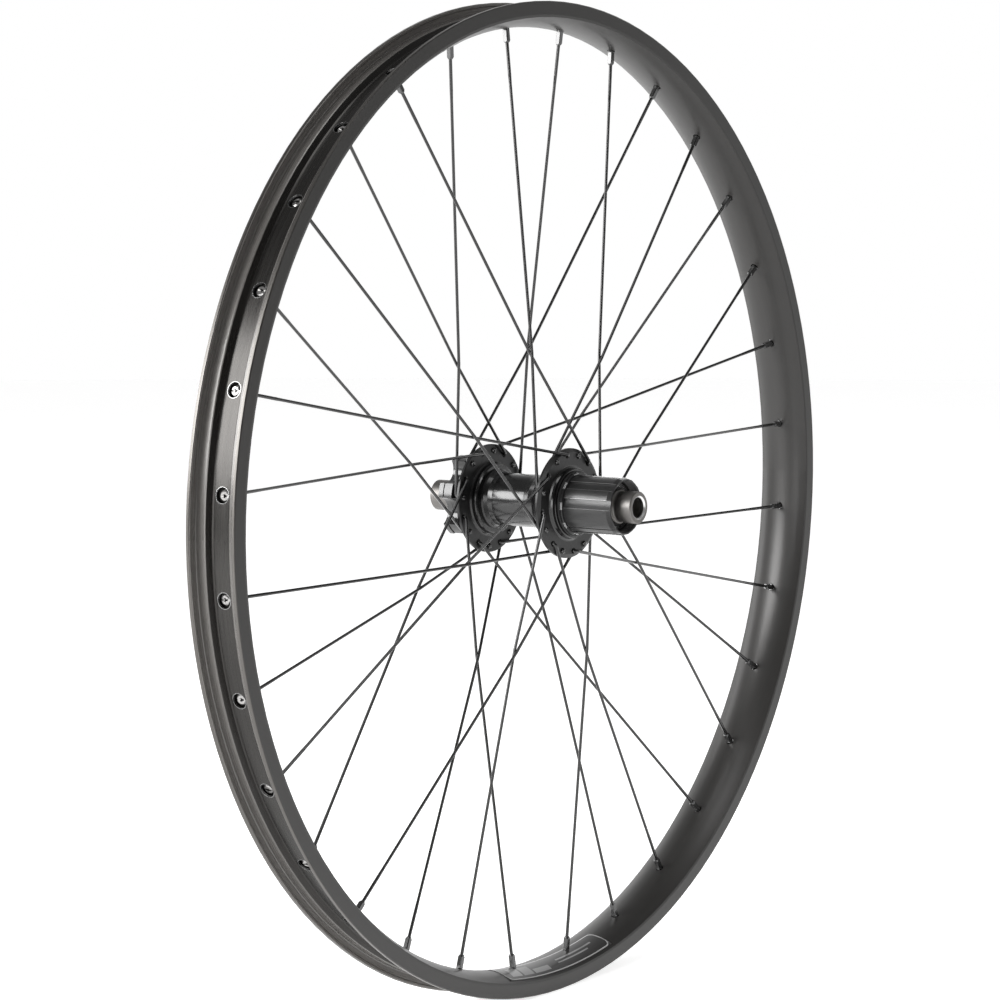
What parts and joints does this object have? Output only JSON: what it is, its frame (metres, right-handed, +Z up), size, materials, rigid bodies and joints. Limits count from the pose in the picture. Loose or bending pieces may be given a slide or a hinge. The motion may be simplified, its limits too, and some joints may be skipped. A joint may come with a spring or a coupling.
{
  "type": "spoked wheel",
  "caption": "Rear bicycle wheel with a disc-brake hub, a splined cassette freehub, crossed wire spokes and a double-walled alloy rim, with no tyre.",
  "frame": {"origin": "centre of the wheel, on the axle midway between the end faces and in the rim's middle plane", "axes": "+Y along the axle towards the brake disc side, +Z up, the freehub is on the -Y side and the valve hole is at the bottom"},
  "size_m": [0.5953, 0.148, 0.5954],
  "materials": {
    "rim_alloy": "satin black anodised",
    "sleeve_alloy": "mill finish",
    "nipple_black": "gloss black anodised",
    "spoke_black": "black coated stainless steel",
    "hub_black": "gloss black anodised",
    "hardened_steel": "hardened",
    "bearing_steel": "ground",
    "ball_steel": "polished",
    "seal_rubber": "matt black rubber",
    "axle_alloy": "turned",
    "cap_alloy": "bead blasted bare alloy",
    "freehub_alloy": "hard anodised dark grey",
    "spring_steel": "bright spring wire"
  },
  "bodies": {
    "axle": {"axle_tube": "axle_alloy", "drive_end_cap": "cap_alloy", "disc_end_cap": "cap_alloy", "end_cap_o_rings": "seal_rubber", "freehub_spacer": "axle_alloy", "hub_drive_inner_ring": "bearing_steel", "hub_disc_inner_ring": "bearing_steel", "freehub_inboard_inner_ring": "bearing_steel", "freehub_outboard_inner_ring": "bearing_steel"},
    "wheel": {"rim": "rim_alloy", "rim_joint_sleeve": "sleeve_alloy", "nipples": "nipple_black", "hub_shell": "hub_black", "ratchet_ring": "hardened_steel", "hub_drive_outer_ring": "bearing_steel", "hub_disc_outer_ring": "bearing_steel", "hub_bearing_balls": "ball_steel", "hub_bearing_seals": "seal_rubber", "drive_inner_spoke_1": "spoke_black", "disc_outer_spoke_1": "spoke_black", "drive_outer_spoke_1": "spoke_black", "disc_inner_spoke_1": "spoke_black", "drive_inner_spoke_2": "spoke_black", "disc_outer_spoke_2": "spoke_black", "drive_outer_spoke_2": "spoke_black", "disc_inner_spoke_2": "spoke_black", "drive_inner_spoke_3": "spoke_black", "disc_outer_spoke_3": "spoke_black", "drive_outer_spoke_3": "spoke_black", "disc_inner_spoke_3": "spoke_black", "drive_inner_spoke_4": "spoke_black", "disc_outer_spoke_4": "spoke_black", "drive_outer_spoke_4": "spoke_black", "disc_inner_spoke_4": "spoke_black", "drive_inner_spoke_5": "spoke_black", "disc_outer_spoke_5": "spoke_black", "drive_outer_spoke_5": "spoke_black", "disc_inner_spoke_5": "spoke_black", "drive_inner_spoke_6": "spoke_black", "disc_outer_spoke_6": "spoke_black", "drive_outer_spoke_6": "spoke_black", "disc_inner_spoke_6": "spoke_black", "drive_inner_spoke_7": "spoke_black", "disc_outer_spoke_7": "spoke_black", "drive_outer_spoke_7": "spoke_black", "disc_inner_spoke_7": "spoke_black", "drive_inner_spoke_8": "spoke_black", "disc_outer_spoke_8": "spoke_black", "drive_outer_spoke_8": "spoke_black", "disc_inner_spoke_8": "spoke_black"},
    "freehub": {"freehub_body": "freehub_alloy", "freehub_seal": "seal_rubber", "pawl_spring": "spring_steel", "freehub_inboard_outer_ring": "bearing_steel", "freehub_outboard_outer_ring": "bearing_steel", "freehub_bearing_balls": "ball_steel", "freehub_bearing_seals": "seal_rubber"},
    "pawl_a": {"pawl_1": "hardened_steel"},
    "pawl_b": {"pawl_2": "hardened_steel"},
    "pawl_c": {"pawl_3": "hardened_steel"}
  },
  "joints": [
    {"name": "wheel_spin", "type": "hinge", "parent": "axle", "child": "wheel", "pos_m": [0, 0, 0], "axis": [0, 1, 0], "continuous": true},
    {"name": "freehub_spin", "type": "hinge", "parent": "axle", "child": "freehub", "pos_m": [0, 0, 0], "axis": [0, 1, 0], "continuous": true},
    {"name": "pawl_a_tilt", "type": "hinge", "parent": "freehub", "child": "pawl_a", "pos_m": [0.01176, -0.0229, 0.00599], "axis": [0, 1, 0], "range_deg": [0, 10], "stiffness_Nm_per_rad": 0.02, "springref_deg": -17.19},
    {"name": "pawl_b_tilt", "type": "hinge", "parent": "freehub", "child": "pawl_b", "pos_m": [-0.01107, -0.0229, 0.00719], "axis": [0, 1, 0], "range_deg": [0, 10], "stiffness_Nm_per_rad": 0.02, "springref_deg": -17.19},
    {"name": "pawl_c_tilt", "type": "hinge", "parent": "freehub", "child": "pawl_c", "pos_m": [-0.00069, -0.0229, -0.01318], "axis": [0, 1, 0], "range_deg": [0, 10], "stiffness_Nm_per_rad": 0.02, "springref_deg": -17.19}
  ]
}
